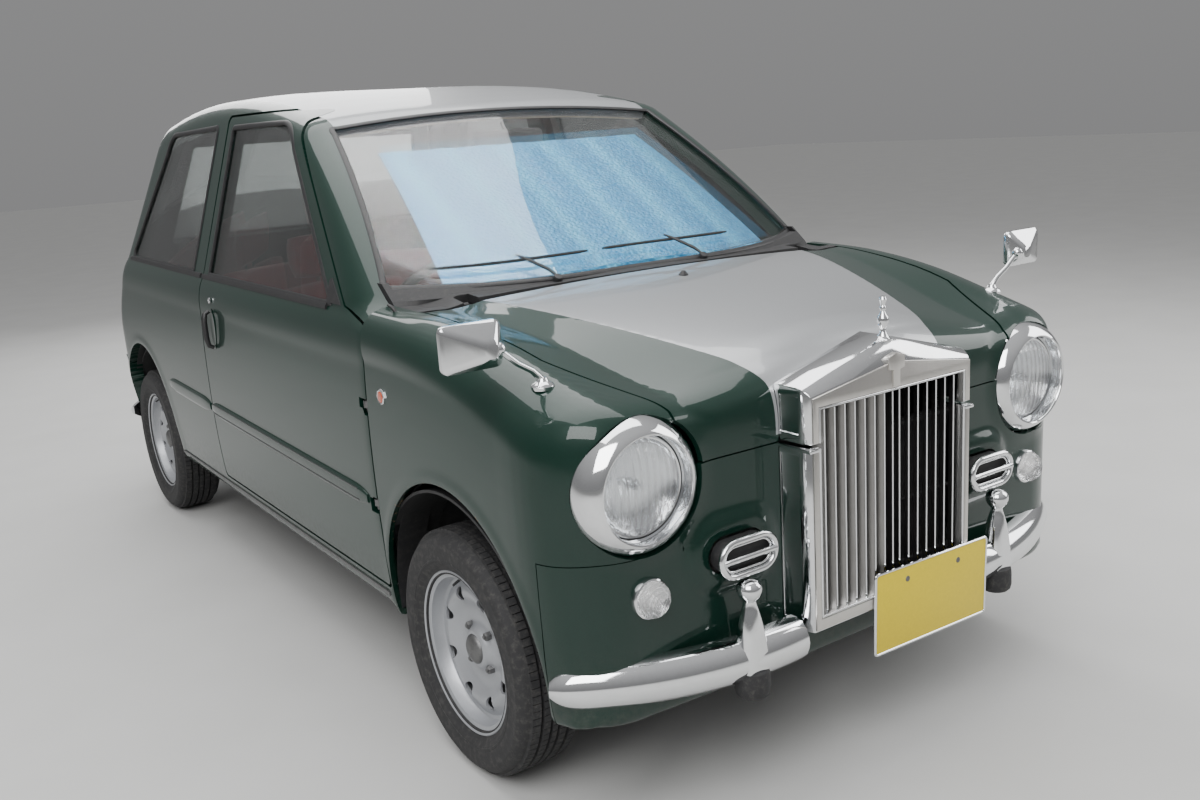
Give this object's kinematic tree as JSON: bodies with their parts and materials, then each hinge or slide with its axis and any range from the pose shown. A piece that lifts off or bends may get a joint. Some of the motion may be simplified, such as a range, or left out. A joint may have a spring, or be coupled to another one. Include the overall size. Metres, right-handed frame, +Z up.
{
  "type": "kei car",
  "caption": "Small three-door hatchback with an upright vaned radiator shell, round headlamps, bumpers with overriders, fender mirrors, opening doors, bonnet and tailgate.",
  "frame": {"origin": "on the ground under the middle of the car", "axes": "+Z up, the front looks along -Y, +X is the car's left side"},
  "size_m": [1.58, 3.283, 1.4102],
  "materials": {
    "body_paint": "dark green metallic gloss",
    "roof_paint": "silver grey, satin",
    "black_paint": "matte black",
    "chrome_trim": "polished",
    "lamp_glass": "clear fluted",
    "red_lamp": "gloss",
    "window_glass": "clear",
    "plate_yellow": "satin, blank",
    "shade_foil": "blue foil, satin",
    "black_plastic": "grained",
    "trim_cloth": "woven",
    "bare_steel": "dull",
    "tyre_rubber": "matte",
    "wheel_silver": "silver, satin"
  },
  "bodies": {
    "body": {"air_inlets": "chrome_trim", "cowl": "black_paint", "dashboard": "black_plastic", "engine": "bare_steel", "exhaust": "bare_steel", "fender_mirrors": "chrome_trim", "floor_pan": "black_paint", "front_bumper": "chrome_trim", "front_fenders": "body_paint", "front_seats": "trim_cloth", "front_suspension": "bare_steel", "headlamp_bezels": "chrome_trim", "headlamp_lenses": "lamp_glass", "nose_panel": "body_paint", "number_plate": "plate_yellow", "quarter_glass": "window_glass", "radiator_grille": "chrome_trim", "rear_axle": "bare_steel", "rear_bumper": "chrome_trim", "rear_panel": "body_paint", "rear_seat": "trim_cloth", "roof_panel": "roof_paint", "side_panels": "body_paint", "sun_visors": "trim_cloth", "tail_lamps": "red_lamp", "turn_lamps": "lamp_glass", "wheelhouses": "black_paint", "windscreen": "window_glass", "windscreen_shade": "shade_foil", "wipers": "black_plastic"},
    "bonnet": {"bonnet": "body_paint", "shell_top": "chrome_trim"},
    "tailgate": {"tailgate": "body_paint", "tailgate_glass": "window_glass"},
    "door_right": {"door_right": "body_paint", "door_glass_right": "window_glass", "door_handle_right": "black_plastic"},
    "door_left": {"door_left": "body_paint", "door_glass_left": "window_glass", "door_handle_left": "black_plastic"},
    "knuckle_right": {"knuckle_right": "bare_steel"},
    "knuckle_left": {"knuckle_left": "bare_steel"},
    "steering_wheel": {"steering_wheel": "black_plastic"},
    "wheel_front_right": {"tyre_front_right": "tyre_rubber", "rim_front_right": "wheel_silver"},
    "wheel_front_left": {"tyre_front_left": "tyre_rubber", "rim_front_left": "wheel_silver"},
    "wheel_rear_right": {"tyre_rear_right": "tyre_rubber", "rim_rear_right": "wheel_silver"},
    "wheel_rear_left": {"tyre_rear_left": "tyre_rubber", "rim_rear_left": "wheel_silver"}
  },
  "joints": [
    {"name": "bonnet_hinge", "type": "hinge", "parent": "body", "child": "bonnet", "pos_m": [0, -0.872, 0.906], "axis": [-1, 0, 0], "range_deg": [0, 50]},
    {"name": "tailgate_hinge", "type": "hinge", "parent": "body", "child": "tailgate", "pos_m": [0, 1.092, 1.366], "axis": [1, 0, 0], "range_deg": [0, 70]},
    {"name": "door_right_hinge", "type": "hinge", "parent": "body", "child": "door_right", "pos_m": [-0.679, -0.769, 0.5], "axis": [0, 0, 1], "range_deg": [0, 65]},
    {"name": "door_left_hinge", "type": "hinge", "parent": "body", "child": "door_left", "pos_m": [0.679, -0.769, 0.5], "axis": [0, 0, -1], "range_deg": [0, 65]},
    {"name": "steer_right", "type": "hinge", "parent": "body", "child": "knuckle_right", "pos_m": [-0.556, -1.09, 0.158], "axis": [0.185, 0, 0.9827], "range_deg": [-32, 32]},
    {"name": "steer_left", "type": "hinge", "parent": "body", "child": "knuckle_left", "pos_m": [0.556, -1.09, 0.158], "axis": [-0.185, 0, 0.9827], "range_deg": [-32, 32]},
    {"name": "steering_column", "type": "hinge", "parent": "body", "child": "steering_wheel", "pos_m": [-0.3, -0.43, 0.8], "axis": [0, 0.9, 0.436], "range_deg": [-510, 510]},
    {"name": "roll_front_right", "type": "hinge", "parent": "knuckle_right", "child": "wheel_front_right", "pos_m": [-0.611, -1.09, 0.254], "axis": [1, 0, 0], "continuous": true},
    {"name": "roll_front_left", "type": "hinge", "parent": "knuckle_left", "child": "wheel_front_left", "pos_m": [0.611, -1.09, 0.254], "axis": [1, 0, 0], "continuous": true},
    {"name": "roll_rear_right", "type": "hinge", "parent": "body", "child": "wheel_rear_right", "pos_m": [-0.611, 1.19, 0.254], "axis": [1, 0, 0], "continuous": true},
    {"name": "roll_rear_left", "type": "hinge", "parent": "body", "child": "wheel_rear_left", "pos_m": [0.611, 1.19, 0.254], "axis": [1, 0, 0], "continuous": true}
  ],
  "couplings": [
    {"joint": "steer_left", "follows": "steer_right", "ratio": 1},
    {"joint": "steering_column", "follows": "steer_right", "ratio": 15}
  ]
}
